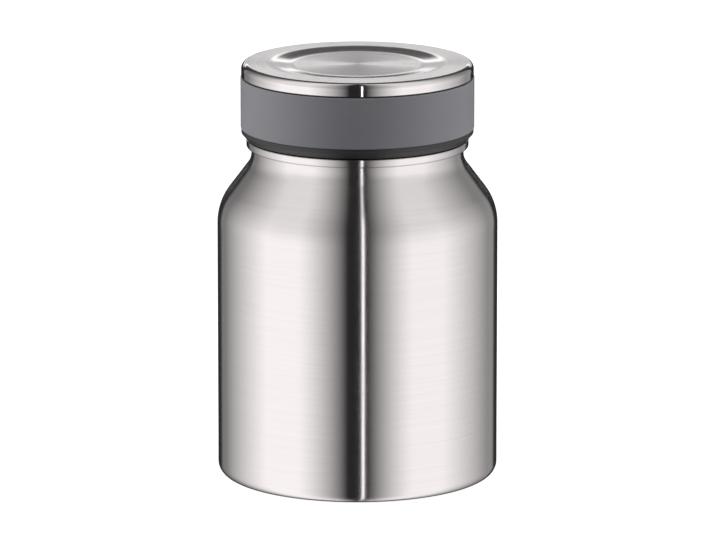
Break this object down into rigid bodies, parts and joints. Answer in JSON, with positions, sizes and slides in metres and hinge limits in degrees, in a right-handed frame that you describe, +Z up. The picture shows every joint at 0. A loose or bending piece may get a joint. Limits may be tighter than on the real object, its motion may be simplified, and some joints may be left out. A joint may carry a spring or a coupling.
{
  "type": "insulated food jar",
  "caption": "Double-walled steel vacuum jar for hot or cold food, with a shouldered neck and a round screw lid that closes on a silicone seal.",
  "frame": {"origin": "on the jar's axis, at the flat ring that the jar stands on", "axes": "+Z up along the jar's axis to the lid, +X to the right and -Y towards the viewer in the picture"},
  "size_m": [0.096, 0.096, 0.1435],
  "materials": {
    "brushed_steel": "satin",
    "vessel_steel": "satin",
    "lid_black": "satin",
    "band_grey": "satin",
    "silicone": "satin",
    "foam": "matte",
    "foil": "gloss",
    "getter": "matte",
    "solder_glass": "gloss",
    "adhesive": "matte"
  },
  "bodies": {
    "jar": {"outer_shell": "brushed_steel", "base_plate": "vessel_steel", "vacuum_plug": "solder_glass", "base_cover": "brushed_steel", "cover_adhesive": "adhesive", "liner_wall": "vessel_steel", "liner_base": "vessel_steel", "radiation_shield": "foil", "getter_clip": "vessel_steel", "getter_pellet": "getter"},
    "seal": {"seal_ring": "silicone"},
    "lid": {"lid_core": "lid_black", "lid_band": "band_grey", "lid_cap": "brushed_steel", "lid_plug": "lid_black", "lid_insulation": "foam", "cap_adhesive": "adhesive"}
  },
  "joints": [
    {"name": "lid_lift", "type": "slide", "parent": "jar", "child": "seal", "axis": [0, 0, 1], "range_m": [0, 0.0271]},
    {"name": "lid_turn", "type": "hinge", "parent": "seal", "child": "lid", "pos_m": [0, 0, 0.133], "axis": [0, 0, 1], "range_deg": [0, 1080]}
  ],
  "couplings": [
    {"joint": "lid_lift", "follows": "lid_turn", "m_per_rad": 0.0014324}
  ]
}
